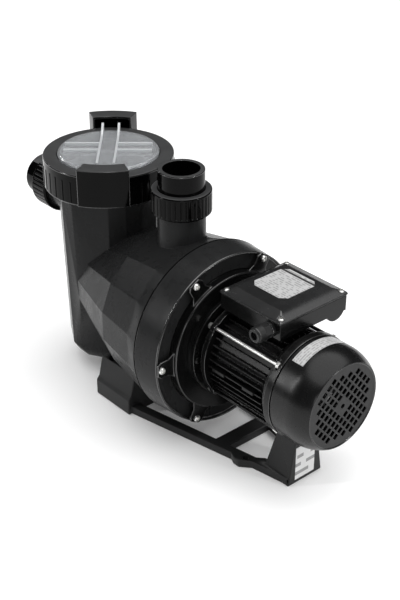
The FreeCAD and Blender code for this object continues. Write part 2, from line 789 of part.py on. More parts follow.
def front_shield():
    part = shaft_body("front_shield")
    turned(part, "shield", [
        ("dim.shield_x", 46),
        ("dim.shield_x", 74),
        (121, 74),
        (121, 60),
        (129, 60),
        (130, 61),
        (130, 69.2),
        (130.8, 70),
        (138, 70),
        (138, 52),
        (141, 52),
        (141, 48),
        (131, 44),
        (131, 25),
        (136.2, 25),
        (136.2, "dim.bearing_r + %s" % FIT),
        (124, "dim.bearing_r + %s" % FIT),
        (124, 13),
        (119, 13),
        (119, 40),
    ])
    ring_of_bars(part, "ear", 7, 8, 130, "dim.rod_circle_r - 2", 4, turn=45)
    ring_of_bars(part, "rod_hole", "dim.rod_r + 0.2", 10, 129, "dim.rod_circle_r", 4,
                 cut=True, turn=45)
    ring_of_bars(part, "bolt_hole", SCREW_R + 0.3, 6, 115.6, PLATE_BOLT_CIRCLE, 4, cut=True)


def rear_shield():
    part = shaft_body("rear_shield")
    turned(part, "shield", [
        (238, 48),
        (238, 52),
        ("dim.rear_x", 52),
        ("dim.rear_x", 64.8),
        ("dim.band_x", 64.8),
        ("dim.band_x", "dim.band_r - 0.8"),
        ("dim.band_x + 0.8", "dim.band_r"),
        ("dim.cover_x - 1", "dim.band_r"),
        ("dim.cover_x - 1", 66.8),
        (266, 66.8),
        (266, 62.5),
        (256.5, 60),
        (256.5, 28),
        (260.5, 26),
        (260.5, 9.4),
        (256.6, 9.4),
        (256.6, "dim.bearing_r + %s" % FIT),
        (242, "dim.bearing_r + %s" % FIT),
        (242, 25),
        (250, 28),
        (250, 44),
    ])
    ring_of_bars(part, "nut_pocket", 7.4, 7, 247, "dim.rod_circle_r", 4, cut=True, turn=45)
    ring_of_bars(part, "rod_hole", "dim.rod_r + %s" % FIT, 5, 253.5, "dim.rod_circle_r", 4,
                 cut=True, turn=45)


def motor_housing():
    part = shaft_body("motor_housing")
    turned(part, "tube", rectangle("dim.housing_x", "dim.bore_r", "dim.rear_x - 0.1", "dim.root_r"))
    fin = block(part, "fin", 98, 1.8, "dim.fin_r - 55", 140.5, -0.9, 55)
    around(part, "fins", [fin], "dim.fin_count")
    block(part, "box_seat", 82, 46, "dim.box_low_z - dim.shaft_z - dim.bore_r - 1.5", 148, -23,
          "dim.bore_r + 1.5")
    for name, x, length in (("front_pad", 150, 22), ("rear_pad", 206, 20)):
        block(part, name, length, 10, 4.6, x, "-dim.fin_r - 2", -2.3)


def tie_rods():
    rods = shaft_body("tie_rods")
    ring_of_bars(rods, "rod", "dim.rod_r", 134.5, 123.5, "dim.rod_circle_r", 4, turn=45)
    nuts = shaft_body("tie_rod_nuts")
    middle = ["dim.rod_circle_r * cos(45 deg)", "dim.rod_circle_r * sin(45 deg)"]
    corners = [(plus(middle[0], y), plus(middle[1], z))
               for y, z in polygon(4.7, [60 * i for i in range(6)])]
    made = [padded(nuts, name, "YZ_Plane", corners, 5, x, holes=((middle[0], middle[1], "dim.rod_r + 0.05"),))
            for name, x in (("front_nut", 125), ("rear_nut", 249))]
    around(nuts, "all_nuts", made, 4)


def windings():
    core = shaft_body("stator_core")
    turned(core, "core", rectangle(158, 30, 222, 52))
    coil = shaft_body("stator_winding")
    for name, first, last in (("front_coil", 145, 158), ("rear_coil", 222, 235)):
        turned(coil, name, [(first, 35), (first, 46), (first + 3, 49), (last - 3, 49), (last, 46),
                            (last, 35), (last - 2, 33), (first + 2, 33)])
    washer = shaft_body("wave_washer")
    turned(washer, "washer", rectangle(255.3, 14, 256.3, 19.5))


SLOT_PITCH = 10.0
SLOT_LONG = 7.3
SLOT_WIDE = 6.5
GRILLE_TURN = -48.5     # direction of the slots' rows, from +Y
GRILLE_REACH = 4.8      # outermost slots, in pitches from the middle


def fan_cover():
    part = shaft_body("fan_cover")
    turned(part, "shell", [
        ("dim.cover_x", 67.2),
        ("dim.cover_x", "dim.cover_r - 0.6"),
        ("dim.cover_x + 0.6", "dim.cover_r"),
        (285, "dim.cover_r", 57),
        ("dim.end_x - 1.2", "dim.face_r + 1.1"),
        ("dim.end_x", "dim.face_r"),
        ("dim.end_x", "dim.face_r - 1.2"),
        ("dim.end_x - 1", "dim.face_r - 2"),
        ("dim.end_x - 1", 0),
        ("dim.end_x - 3.6", 0),
        ("dim.end_x - 3.6", "dim.face_r - 2.4"),
        (285, 67.5),
        (268, 67.2),
    ])
    made = sketch(part, "grille_outline", "YZ_Plane", "dim.end_x - 5")
    made.AttachmentOffset.Rotation = Rotation(Vector(0, 0, 1), GRILLE_TURN)
    steps = [i + 0.5 for i in range(-5, 5)]
    for row in steps:
        for column in steps:
            if 1 < math.hypot(row, column) < GRILLE_REACH:
                x, y = row * SLOT_PITCH, column * SLOT_PITCH
                outline_more(made, rectangle(x - SLOT_WIDE / 2, y - SLOT_LONG / 2,
                                             x + SLOT_WIDE / 2, y + SLOT_LONG / 2))
    slots = part.newObject("PartDesign::Pocket", "grille")
    slots.Profile = made
    slots.Length = 8
    slots.Reversed = True
    part.Tip = slots
    round_bar(part, "centre_hole", 3.2, 8, "dim.end_x - 5", 0, 0, cut=True, **ALONG_X)


def outline_more(made, corners):
    """Add one more rectangle of plain numbers to a sketch and fix its corners in place."""
    first = len(made.Geometry)
    flat = [Vector(x, y, 0) for x, y in corners]
    for i in range(4):
        made.addGeometry(Part.LineSegment(flat[i], flat[(i + 1) % 4]), False)
    for i in range(4):
        made.addConstraint(Sketcher.Constraint("Block", first + i))


# Terminal box -----------------------------------------------------------------------------

SCREW_INSET = 6.5
LID_SLOPE = 15.0
BULGE_Y = 64.0
BULGE_Z = 224.0
BULGE_R = 17.0
BOX_WALL = 3.0


def lid_corners(inset):
    """Places on the box lid, set in from its four corners."""
    return [(x, y)
            for x in (plus("dim.box_x", inset), plus("dim.box_x + dim.box_long", -inset))
            for y in (plus("dim.box_y", inset), plus("dim.box_y + dim.box_wide", -inset))]


def inset_rectangle(inset):
    return rectangle(plus("dim.box_x", inset), plus("dim.box_y", inset),
                     plus("dim.box_x + dim.box_long", -inset),
                     plus("dim.box_y + dim.box_wide", -inset))


def terminal_box():
    part = body("terminal_box")
    padded(part, "walls", "XY_Plane", inset_rectangle(1), "dim.box_top_z - dim.box_low_z",
           "dim.box_low_z")
    round_bar(part, "capacitor_bulge", BULGE_R, 98, "dim.box_x + dim.box_long - 99", BULGE_Y,
              BULGE_Z, **ALONG_X)
    block(part, "bulge_top_trim", 120, 60, 20, "dim.box_x", 30, "dim.box_top_z", cut=True)
    padded(part, "inside", "XY_Plane", inset_rectangle(1 + BOX_WALL), 40,
           plus("dim.box_low_z", BOX_WALL), cut=True).Reversed = True
    round_bar(part, "bulge_inside", BULGE_R - 2, 92, "dim.box_x + dim.box_long - 96", BULGE_Y,
              BULGE_Z, cut=True, **ALONG_X)
    for i, (x, y) in enumerate(lid_corners(SCREW_INSET)):
        round_bar(part, "post_%d" % i, 4.6, "dim.box_top_z - dim.box_low_z", x, y, "dim.box_low_z")
    for i, (x, y) in enumerate(lid_corners(SCREW_INSET)):
        round_bar(part, "post_hole_%d" % i, 2.05, 14, x, y, "dim.box_top_z - 13", cut=True)
    round_bar(part, "gland_hole", 8.1, 10, "dim.gland_x", "dim.box_y + 8", "dim.gland_z",
              cut=True, **AGAINST_Y)
    round_bar(part, "wire_hole", 9, 10, 165, 0, "dim.box_low_z - 2", cut=True)


def box_lid():
    part = body("box_lid")
    levels = []
    for name, height, inset in (("rim_low", "dim.box_top_z + 0.8", 0),
                                ("rim_high", "dim.box_top_z + 3.4", 0),
                                ("plateau", "dim.lid_top_z", LID_SLOPE)):
        made = sketch(part, name, "XY_Plane", height)
        outline(made, inset_rectangle(inset))
        levels.append(made)
    loft(part, "cover", levels)
    for i, (x, y) in enumerate(lid_corners(SCREW_INSET)):
        round_bar(part, "seat_%d" % i, 4.4, 12, x, y, "dim.box_top_z + 4.6", cut=True)
        round_bar(part, "screw_hole_%d" % i, 2.3, 12, x, y, "dim.box_top_z", cut=True)
    gasket = body("box_gasket")
    padded(gasket, "gasket", "XY_Plane", inset_rectangle(1.2), 0.8, "dim.box_top_z")
    padded(gasket, "gasket_inside", "XY_Plane", inset_rectangle(3.8), 3,
           "dim.box_top_z - 1", cut=True).Reversed = True
    screws = body("box_lid_screws")
    for i, (x, y) in enumerate(lid_corners(SCREW_INSET)):
        round_bar(screws, "shank_%d" % i, 2, 16, x, y, "dim.box_top_z - 11")
        round_bar(screws, "head_%d" % i, 3.8, 2.6, x, y, "dim.box_top_z + 4.6")
        block(screws, "drive_%d" % i, 6, 1, 2, plus(x, -3), plus(y, -0.5), "dim.box_top_z + 6.2",
              cut=True)


def box_contents():
    strip = body("terminal_block")
    block(strip, "strip", 54, 18, 12, 148, -8, "dim.box_low_z + 3")
    for i in range(5):
        round_bar(strip, "well_%d" % i, 3, 4, 155 + 10 * i, 1, "dim.box_low_z + 13", cut=True)
    capacitor = body("capacitor", "dim.box_x + dim.box_long - 92", BULGE_Y, BULGE_Z, **ALONG_X)
    round_bar(capacitor, "can", BULGE_R - 3.5, 74)
    round_bar(capacitor, "stud", 4, 8, 0, 0, 74)


def cable_gland():
    turn = dict(AGAINST_Y)
    gland = body("gland_body", "dim.gland_x", "dim.box_y", "dim.gland_z", **turn)
    padded(gland, "hexagon", "XY_Plane", polygon(10.9, [60 * i for i in range(6)]), 5, -1)
    round_bar(gland, "thread", 8, 7, 0, 0, -8)
    round_bar(gland, "neck", 8.4, 12, 0, 0, 4)
    round_bar(gland, "bore", 5.2, 40, 0, 0, -12, cut=True)
    nut = body("gland_nut", "dim.gland_x", "dim.box_y", "dim.gland_z", **turn)
    turned(nut, "dome", [
        (5.6, 28),
        (8.2, 28),
        (10.4, 25),
        (10.9, 14),
        (10.9, 5.2),
        (8.6, 5.2),
        (8.6, 22),
        (5.6, 25),
    ], "V_Axis")
    flat = block(nut, "flat", 30, 4, 11, -15, 9.6, 4.2, cut=True)
    around(nut, "flats", [flat], 6, UPRIGHT)
    seal = body("gland_seal", "dim.gland_x", "dim.box_y", "dim.gland_z", **turn)
    turned(seal, "seal", rectangle(5.2, 16.2, 8.3, 21.8), "V_Axis")


# Labels -----------------------------------------------------------------------------------

def labels():
    rating = body("rating_label")
    padded(rating, "plate", "XY_Plane", [
        (156, -1),
        (200, -1),
        (208.5, 7),
        (208.5, 55),
        (200, 63),
        (156, 63),
        (147.5, 55),
        (147.5, 7),
    ], 0.4, "dim.lid_top_z")
    strip = body("cover_label", 0, 0, "dim.shaft_z", (1, 0, 0), -29)
    turned(strip, "strip", rectangle(265, "dim.cover_r + 0.02", 283, "dim.cover_r + 0.42"), angle=63)
    plate = body("base_label")
    padded(plate, "plate", "YZ_Plane", rectangle(-19, 6, 16, 57), 0.4, "dim.block_end_x")


# Lock ring, lid and basket ----------------------------------------------------------------

def lock_ring():
    part = pot_body("lock_ring", number("dim.tab_turn"))
    turned(part, "ring", [
        ("dim.ring_hole_r", "dim.ring_top_z"),
        ("dim.ring_r - 1.2", "dim.ring_top_z"),
        ("dim.ring_r", "dim.ring_top_z - 1.2"),
        ("dim.ring_r", "dim.ring_low_z + 1"),
        ("dim.ring_r - 1", "dim.ring_low_z"),
        ("dim.ring_in_r", "dim.ring_low_z"),
        ("dim.ring_in_r", "dim.ring_top_z - dim.ring_plate"),
        ("dim.ring_hole_r", "dim.ring_top_z - dim.ring_plate"),
    ], "V_Axis")
    width = 2 * math.degrees(math.asin(number("dim.tab_width / 2 / dim.tab_r")))
    wall = 2 * math.degrees(number("dim.tab_wall / dim.tab_r"))
    inner = "dim.tab_r - dim.tab_wall"
    hood = turned(part, "hood", rectangle("dim.ring_r - 4", "dim.tab_low_z", "dim.tab_r",
                                          "dim.tab_top_z"), "V_Axis", angle=width)
    well = turned(part, "finger_well", rectangle("dim.ring_r", "dim.tab_low_z - 5", inner,
                                                 "dim.tab_top_z - dim.tab_wall"),
                  "V_Axis", cut=True, angle=width - wall)
    mouth = turned(part, "finger_mouth", rectangle("dim.ring_r - 12", "dim.ring_top_z", inner,
                                                   "dim.tab_top_z - dim.tab_wall"),
                   "V_Axis", cut=True, angle=width - wall)
    for feature in (hood, well, mouth):
        feature.Midplane = True
    around(part, "grip_tabs", [hood, well, mouth], 2, UPRIGHT)


LID_Z = 339.0       # flat top of the lid
RIB = 3.5           # width of its ribs
RIB_Y = 10.0        # inner side of the ribs, from the middle


def clear_lid():
    part = pot_body("clear_lid", number("dim.tab_turn"))
    turned(part, "dome", [
        (0, LID_Z - 5),
        (0, LID_Z),
        ("dim.lid_r - 2.5", LID_Z),
        ("dim.lid_r", LID_Z - 2.5),
        ("dim.lid_r", 327.2),
        (84, 327.2),
        (84, 320.3),
        (70, 320.3),
        (67, LID_Z - 5),
    ], "V_Axis")
    for name, y in (("left", -RIB_Y - RIB), ("right", RIB_Y)):
        block(part, name + "_long_rib", 126, RIB, 5.5, -66, y, LID_Z - 0.5)
        padded(part, name + "_fin", "XZ_Plane", [
            (-69, LID_Z - 0.5),
            (-68, 346),
            (-65, 353),
            (-62, 353),
            (-48, 347),
            (-34, 344),
            (-34, LID_Z - 0.5),
        ], RIB, -y - RIB)
        for end, x in (("front", RIB_Y), ("rear", -RIB_Y - RIB)):
            block(part, "%s_%s_cross_rib" % (name, end), RIB, 52, 5.5, x,
                  RIB_Y if y > 0 else -RIB_Y - 52, LID_Z - 0.5)
    torus("lid_o_ring", 79, 2.4, "dim.pot_x", 0, 317.9)


BASKET_R = 52.0
RIM_Z = 304.0
HANDLE_R = 56.0
WIRE_R = 2.2


def basket():
    part = pot_body("basket")
    turned(part, "shell", [
        (0, 60),
        (BASKET_R - 2, 60),
        (BASKET_R, 62),
        (61, 300.3),
        (70.5, 300.3),
        (70.5, RIM_Z),
        (59.2, RIM_Z),
        (50, 62.4),
        (0, 62.4),
    ], "V_Axis")
    for name, z in (("low", 70), ("middle", 142), ("high", 214)):
        slot = block(part, name + "_slot", 160, 6, 64 if name != "high" else 76, -80, -3, z, cut=True)
        around(part, name + "_slots", [slot], 12, UPRIGHT, 165)
    round_bar(part, "inlet", 26, 40, -40, 0, "dim.suction_z", cut=True, **AGAINST_X)
    for name, x in (("left", -66), ("right", 62.2)):
        block(part, name + "_eye", 3.8, 10, 10, x, -5, RIM_Z - 1)
    round_bar(part, "pivot_hole", WIRE_R + FIT, 140, -70, 0, RIM_Z + 4, cut=True, **ALONG_X)
    handle = pot_body("basket_handle")
    bind(handle, "Placement.Base.z", RIM_Z + 4)
    bow = handle.newObject("PartDesign::AdditiveTorus", "bow")
    bow.Radius1 = HANDLE_R
    bow.Radius2 = WIRE_R
    bow.Angle3 = 180
    handle.Tip = bow
    round_bar(handle, "right_pin", WIRE_R, 10, HANDLE_R, 0, 0, **ALONG_X)
    round_bar(handle, "left_pin", WIRE_R, 10, -HANDLE_R, 0, 0, **AGAINST_X)


# Base frame -------------------------------------------------------------------------------

def base_frame():
    part = body("base_frame")
    padded(part, "front_foot", "YZ_Plane", [
        ("-dim.foot_y", 0),
        ("-dim.foot_y", 24),
        ("-dim.foot_y + 5", 30),
        (-76, 60),
        (76, 60),
        ("dim.foot_y - 5", 30),
        ("dim.foot_y", 24),
        ("dim.foot_y", 0),
    ], "dim.foot_long", "dim.foot_x")
    saddle = part.newObject("PartDesign::SubtractiveCone", "saddle")
    saddle.Radius1 = 98
    saddle.Radius2 = 117
    bind(saddle, "Height", "dim.foot_long")
    place(saddle, "dim.foot_x", 0, "dim.shaft_z", **ALONG_X)
    part.Tip = saddle
    rail = padded(part, "rail", "XY_Plane", [
        (-12, -84),
        (7, -80.4),
        (168, -47.6),
        (176, -51.4),
        (186, -51.4),
        (200, -39.3),
        ("dim.block_end_x", -29),
        ("dim.block_end_x", -12),
        (206, -20),
        (197, -28.5),
        (-12, -69),
    ], "dim.rail_z")
    mirror = part.newObject("PartDesign::Mirrored", "far_rail")
    mirror.Originals = [rail]
    mirror.MirrorPlane = (origin_of(part, "XZ_Plane"), [""])
    part.Tip = mirror
    block(part, "crossbar", 23.6, 84, "dim.rail_z", 130, -42, 0)
    levels = []
    for name, height, front, half in (("block_foot", 0, "dim.block_x", 31),
                                      ("block_head", 84, "dim.block_x + 16", 18)):
        made = sketch(part, name, "XY_Plane", height)
        outline(made, rectangle(front, -half, "dim.block_end_x", half))
        levels.append(made)
    loft(part, "rear_block", levels)
    round_bar(part, "motor_seat", "dim.band_r + 0.4", 60, 205, 0, "dim.shaft_z", cut=True, **ALONG_X)
    for name, x, y in (("front", "dim.fix_front_x", "dim.fix_front_y"),
                       ("rear", "dim.fix_rear_x", "dim.fix_rear_y")):
        for side, sign in (("near", -1), ("far", 1)):
            across = "%d * %s" % (sign, y)
            round_bar(part, "%s_%s_hole" % (name, side), "dim.fix_r", 30, x, across, -1, cut=True)
            round_bar(part, "%s_%s_recess" % (name, side), 8, 80, x, across,
                      "dim.rail_z", cut=True)
    for side, y in (("near", -SCREW_Y), ("far", SCREW_Y)):
        round_bar(part, side + "_screw_hole", SCREW_R + 0.3, 60, BASE_SCREW_X, y, -1, cut=True)
        round_bar(part, side + "_screw_recess", 5.5, 9, BASE_SCREW_X, y, -1, cut=True)
        round_bar(part, side + "_boss_seat", 9 + GAP, 20, BASE_SCREW_X, y, BOSS_Z - FIT, cut=True)
    screws = body("base_screws")
    for side, y in (("near", -SCREW_Y), ("far", SCREW_Y)):
        round_bar(screws, side + "_head", 5, 4, BASE_SCREW_X, y, 4)
        round_bar(screws, side + "_shank", SCREW_R, 36, BASE_SCREW_X, y, 8)


# The whole pump ---------------------------------------------------------------------------

base_frame()
pump_body()
volute_ring()
seal_plate()
wet_end()
drain_plug("pot", "dim.pot_x", "dim.pot_foot_z")
rotor_parts()
ball_bearing("front_bearing", 124.1)
ball_bearing("rear_bearing", 243.1)
front_shield()
motor_housing()
windings()
rear_shield()
tie_rods()
fan_cover()
terminal_box()
box_lid()
box_contents()
cable_gland()
labels()
lock_ring()
clear_lid()
basket()
union_parts("discharge", "dim.outlet_x", "dim.union_z", {})
union_parts("suction", "-dim.end_x", "dim.suction_z", AGAINST_X)


def check_and_write():
    """Stop unless every object is sound, then write each sub-part's solids."""
    doc.recompute()
    failed = [thing.Label for thing in doc.Objects
              if "Invalid" in thing.State or "Error" in thing.State]
    if failed:
        raise RuntimeError("not recomputed: %s" % ", ".join(failed))
    os.makedirs("parts", exist_ok=True)
    for part in parts:
        shape = part.Shape
        if shape.isNull() or not shape.isValid() or not shape.Solids:
            raise RuntimeError("%s has no valid solid" % part.Label)
        print("%-22s %2d solids %10.0f mm3" % (part.Label, len(shape.Solids), shape.Volume))
        shape.exportStep("parts/%s.step" % part.Label)


check_and_write()
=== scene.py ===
import json
import math

import bmesh
import bpy
from mathutils import Matrix, Vector


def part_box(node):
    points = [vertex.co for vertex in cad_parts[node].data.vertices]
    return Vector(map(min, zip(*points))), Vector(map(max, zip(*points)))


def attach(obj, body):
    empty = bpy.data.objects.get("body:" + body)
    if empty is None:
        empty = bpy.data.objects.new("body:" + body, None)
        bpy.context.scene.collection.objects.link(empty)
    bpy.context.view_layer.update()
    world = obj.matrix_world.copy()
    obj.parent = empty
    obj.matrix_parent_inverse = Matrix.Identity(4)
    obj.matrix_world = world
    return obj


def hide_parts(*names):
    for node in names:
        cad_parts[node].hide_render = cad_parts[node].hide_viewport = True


# Pool pump: strainer pot with a clear screw-ring lid, faceted wet end, two threaded
# unions, finned motor with terminal box and fan cover, all on a moulded base frame.
# The CAD bodies give every size; here each visible piece gets rounded edges, its small
# details and its finish. The scene is in metres, X runs along the shaft and Z is up;
# sizes written below are millimetres unless they say otherwise, and MM converts them.

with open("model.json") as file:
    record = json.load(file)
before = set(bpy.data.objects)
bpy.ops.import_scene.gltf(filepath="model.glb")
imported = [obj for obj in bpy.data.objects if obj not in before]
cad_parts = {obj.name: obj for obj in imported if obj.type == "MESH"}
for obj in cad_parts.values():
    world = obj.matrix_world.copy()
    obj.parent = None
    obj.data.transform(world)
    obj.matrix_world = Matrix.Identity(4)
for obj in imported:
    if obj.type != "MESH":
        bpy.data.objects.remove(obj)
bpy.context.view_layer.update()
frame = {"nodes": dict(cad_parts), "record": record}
MM = 0.001
nodes = frame["nodes"]
slot_of = {row["node"]: row["material_slot"] for row in frame["record"]["subparts"]}
body_of = {node: body for body, members in frame["record"]["behaviour"]["bodies"].items()
           for node in members}
SHAFT_Z = sum(corner.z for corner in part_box("shaft")) / 2


# Studio ---------------------------------------------------------------------------------

AZIMUTH = 49.016        # the camera looks along this direction, from +Y towards -X
ELEVATION = 29.895      # it looks down by this angle
AIM = Vector((0.0281, 0.0181, 0.1635))      # metres, like the distance to it
DISTANCE = 1.6503
LENS = 71.2
SENSOR = 36.0
WHITE = (1, 1, 1, 1)

FLOOR_HALF = 2.8        # metres from the middle to each side
FLOOR_DROP = 0.3        # so that the feet and the floor don't share a plane
FLOOR_LOOK = {"Base Color": (0.93, 0.93, 0.93, 1), "Roughness": 0.6,
              "Specular IOR Level": 0.2, "Emission Color": WHITE, "Emission Strength": 0.09}

ROOM_COLOUR = (0.30, 0.30, 0.31, 1)
ROOM_STRENGTH = 0.12

CEILING_STRENGTH = 3.6
CEILING_SPREAD = 84.0   # degrees across the sky that the ceiling's light comes from
CEILING_TILT = (-6.0, 8.0)
LAMPS = (               # name, place, target, width and height in metres, watts
    ("left_box", (-1.1, -1.9, 1.3), (0, 0, 0.15), 0.05, 1.3, 15),
    ("right_box", (2.3, 0.9, 1.2), (0.1, 0, 0.15), 0.05, 1.2, 15),
    ("front_fill", (1.9, -1.5, 0.7), (0.2, 0, 0.1), 0.5, 0.5, 5),
    ("back_strip", (-2.3, -0.2, 1.2), (0, 0, 0.25), 1.2, 0.05, 6),
)


def scene_object(name, data):
    """Put an object of this data into the scene."""
    made = bpy.data.objects.new(name, data)
    bpy.context.scene.collection.objects.link(made)
    return made


def camera():
    """The camera, DISTANCE back from its aim along the line of sight."""
    data = bpy.data.cameras.new("camera")
    data.sensor_width = SENSOR
    data.lens = LENS
    made = scene_object("camera", data)
    made.rotation_euler = (math.radians(90 - ELEVATION), 0, math.radians(AZIMUTH))
    back = made.rotation_euler.to_matrix() @ Vector((0, 0, 1))
    made.location = AIM + DISTANCE * back
    bpy.context.scene.camera = made


def floor():
    """A white floor under the pump, part of the studio; a faint glow keeps it even."""
    work = bmesh.new()
    bmesh.ops.create_grid(work, x_segments=1, y_segments=1, size=FLOOR_HALF)
    mesh = bpy.data.meshes.new("floor")
    work.to_mesh(mesh)
    work.free()
    made = scene_object("floor", mesh)
    made.location.z = -FLOOR_DROP * MM
    material = bpy.data.materials.new("floor_white")
    material.use_nodes = True
    shader = material.node_tree.nodes["Principled BSDF"]
    for socket, value in FLOOR_LOOK.items():
        shader.inputs[socket].default_value = value
    mesh.materials.append(material)


def softbox(name, place, target, width, height, power):
    """A rectangular lamp of this power, in watts, turned towards its target."""
    data = bpy.data.lights.new(name, "AREA")
    data.shape = "RECTANGLE"
    data.size = width
    data.size_y = height
    data.energy = power
    made = scene_object(name, data)
    made.location = place
    made.rotation_euler = (Vector(target) - Vector(place)).to_track_quat("-Z", "Y").to_euler()


def room():
    """A dim room that lights and is reflected, but shows white behind the pump."""
    world = bpy.data.worlds.new("room")
    world.use_nodes = True
    tree = world.node_tree
    dim = tree.nodes["Background"]
    dim.inputs["Color"].default_value = ROOM_COLOUR
    dim.inputs["Strength"].default_value = ROOM_STRENGTH
    white = tree.nodes.new("ShaderNodeBackground")
    white.inputs["Color"].default_value = WHITE
    path = tree.nodes.new("ShaderNodeLightPath")
    mixed = tree.nodes.new("ShaderNodeMixShader")
    tree.links.new(path.outputs["Is Camera Ray"], mixed.inputs[0])
    tree.links.new(dim.outputs[0], mixed.inputs[1])
    tree.links.new(white.outputs[0], mixed.inputs[2])
    tree.links.new(mixed.outputs[0], tree.nodes["World Output"].inputs["Surface"])
    return world


def lights():
    """A wide soft ceiling, with narrow strips that draw thin highlights on the edges."""
    data = bpy.data.lights.new("ceiling", "SUN")
    data.energy = CEILING_STRENGTH
    data.angle = math.radians(CEILING_SPREAD)
    made = scene_object("ceiling", data)
    made.rotation_euler = [math.radians(angle) for angle in CEILING_TILT] + [0]
    for lamp in LAMPS:
        softbox(*lamp)
    bpy.context.scene.world = room()
    bpy.context.scene.view_settings.view_transform = "Standard"


# Finishes -------------------------------------------------------------------------------

class Value:
    """A shader socket that takes part in Python sums, so 1 - mask adds a Math node."""

    def __init__(self, finish, socket):
        self.finish = finish
        self.socket = socket

    def _sum(self, operation, first, second):
        return self.finish.node("ShaderNodeMath", {"operation": operation}, first, second)

    def __add__(self, other):
        return self._sum("ADD", self, other)

    def __sub__(self, other):
        return self._sum("SUBTRACT", self, other)

    def __rsub__(self, other):
        return self._sum("SUBTRACT", other, self)

    def __mul__(self, other):
        return self._sum("MULTIPLY", self, other)

    def __truediv__(self, other):
        return self._sum("DIVIDE", self, other)

    def __gt__(self, other):
        return self._sum("GREATER_THAN", self, other)

    def __lt__(self, other):
        return self._sum("LESS_THAN", self, other)

    __radd__ = __add__
    __rmul__ = __mul__


class Finish:
    """A material on the Principled shader; what varies over it is set by feed."""

    def __init__(self, name, **fixed):
        self.material = bpy.data.materials.new(name)
        self.material.use_nodes = True
        self.tree = self.material.node_tree
        self.shader = self.tree.nodes["Principled BSDF"]
        for socket, value in fixed.items():
            self.shader.inputs[socket.replace("_", " ")].default_value = value

    def node(self, kind, settings, *values, out=0, **named):
        """Add a node: its settings, then the values of its sockets, in order or by name.

        A value of None leaves its socket as it is.
        """
        made = self.tree.nodes.new(kind)
        for key, value in settings.items():
            setattr(made, key, value)
        for key, value in enumerate(values):
            if value is not None:
                self.link(made.inputs[key], value)
        for key, value in named.items():
            self.link(made.inputs[key.replace("_", " ")], value)
        return Value(self, made.outputs[out])

    def link(self, socket, value):
        """Connect a socket to a value of the shader, or set it to a fixed one."""
        if isinstance(value, Value):
            self.tree.links.new(value.socket, socket)
        else:
            socket.default_value = value

    def feed(self, socket, value):
        """Drive an input of the Principled shader."""
        self.link(self.shader.inputs[socket], value)

    def place(self, scale=(1, 1, 1)):
        """The point on the object, in metres, each axis scaled by its own factor."""
        point = self.node("ShaderNodeTexCoord", {}, out="Object")
        return self.node("ShaderNodeMapping", {}, Vector=point, Scale=scale)

    def noise(self, size, detail=3.0, scale=(1, 1, 1)):
        """Cloudy noise, 0 to 1, in blotches about size across; a small scale draws them out."""
        return self.node("ShaderNodeTexNoise", {}, Vector=self.place(scale),
                         Scale=1 / (size * MM), Detail=detail)

    def blend(self, factor, first, second):
        """Mix two colours; the sockets passed over belong to the node's other kinds of mix."""
        passed_over = [None] * 5
        return self.node("ShaderNodeMix", {"data_type": "RGBA"}, factor, *passed_over,
                         first, second, out=2)

    def bump(self, height, depth, strength=1.0):
        """Relief of a height value; depth is how deep it goes."""
        self.feed("Normal", self.node("ShaderNodeBump", {}, Height=height,
                                      Strength=strength, Distance=depth * MM))


def grey(level, tint=0.0):
    """A grey, or a slightly blue one."""
    return (level * (1 - tint), level, level * (1 + tint), 1)


def moulded(name, level, rough, grain, shine=0.3, spread=0.12):
    """Moulded plastic: fine spark-eroded grain, flow clouds and faint handling scuffs."""
    made = Finish(name, Specular_IOR_Level=shine)
    clouds = made.noise(50, 4.0)
    flow = made.noise(14, 4.0, (1, 1, 0.35))
    scuffs = made.noise(5, 6.0, (0.25, 1, 0.6))
    made.feed("Base Color", made.blend(clouds * 0.6 + flow * 0.4, grey(level * 0.55),
                                       grey(level * 1.5, 0.02)))
    made.feed("Roughness", rough + (clouds - 0.5) * spread + (flow - 0.5) * spread
              + (scuffs - 0.5) * spread * 0.6)
    made.bump(made.noise(1.2, 2.0), grain, 0.12)
    return made.material


def glossy(name, level, rough, shine):
    """Glossy moulded plastic: slight sink waves, a few dull handling marks."""
    made = Finish(name, Specular_IOR_Level=shine)
    marks = made.noise(9, 6.0, (0.3, 1, 1))
    made.feed("Base Color", made.blend(made.noise(50), grey(level * 0.8), grey(level * 1.2)))
    made.feed("Roughness", rough + (marks - 0.5) * 0.10)
    made.bump(made.noise(18, 1.0), 0.12, 0.5)
    return made.material


def enamel(name, level, rough, shine):
    """Sprayed enamel on cast aluminium: orange peel over a faint sand-cast texture."""
    made = Finish(name, Specular_IOR_Level=shine)
    peel = made.noise(2.2, 1.5)
    cast = made.noise(0.7, 2.0)
    made.feed("Base Color", made.blend(made.noise(30), grey(level * 0.7), grey(level * 1.3)))
    made.feed("Roughness", rough + (made.noise(20, 4.0) - 0.5) * 0.14)
    made.bump(peel * 0.7 + cast * 0.3, 0.05, 0.6)
    return made.material


def plated(name, colour, rough, along=(1, 1, 1)):
    """Bright plated or ground steel: fine drawing lines and a faint tarnish."""
    made = Finish(name, Metallic=1.0)
    lines = made.noise(1.2, 4.0, along)
    tarnish = made.noise(6, 3.0)
    dull = tuple(c * 0.72 for c in colour[:3]) + (1,)
    made.feed("Base Color", made.blend(tarnish, colour, dull))
    made.feed("Roughness", rough + (lines - 0.5) * 0.16 + (tarnish - 0.5) * 0.08)
    made.bump(lines, 0.01, 0.2)
    return made.material


def rubber():
    """Matt black rubber, slightly mottled."""
    made = Finish("rubber_black")
    made.feed("Base Color", made.blend(made.noise(8), grey(0.012), grey(0.022)))
    made.feed("Roughness", 0.62 + (made.noise(3, 3.0) - 0.5) * 0.2)
    made.bump(made.noise(0.6, 2.0), 0.03)
    return made.material


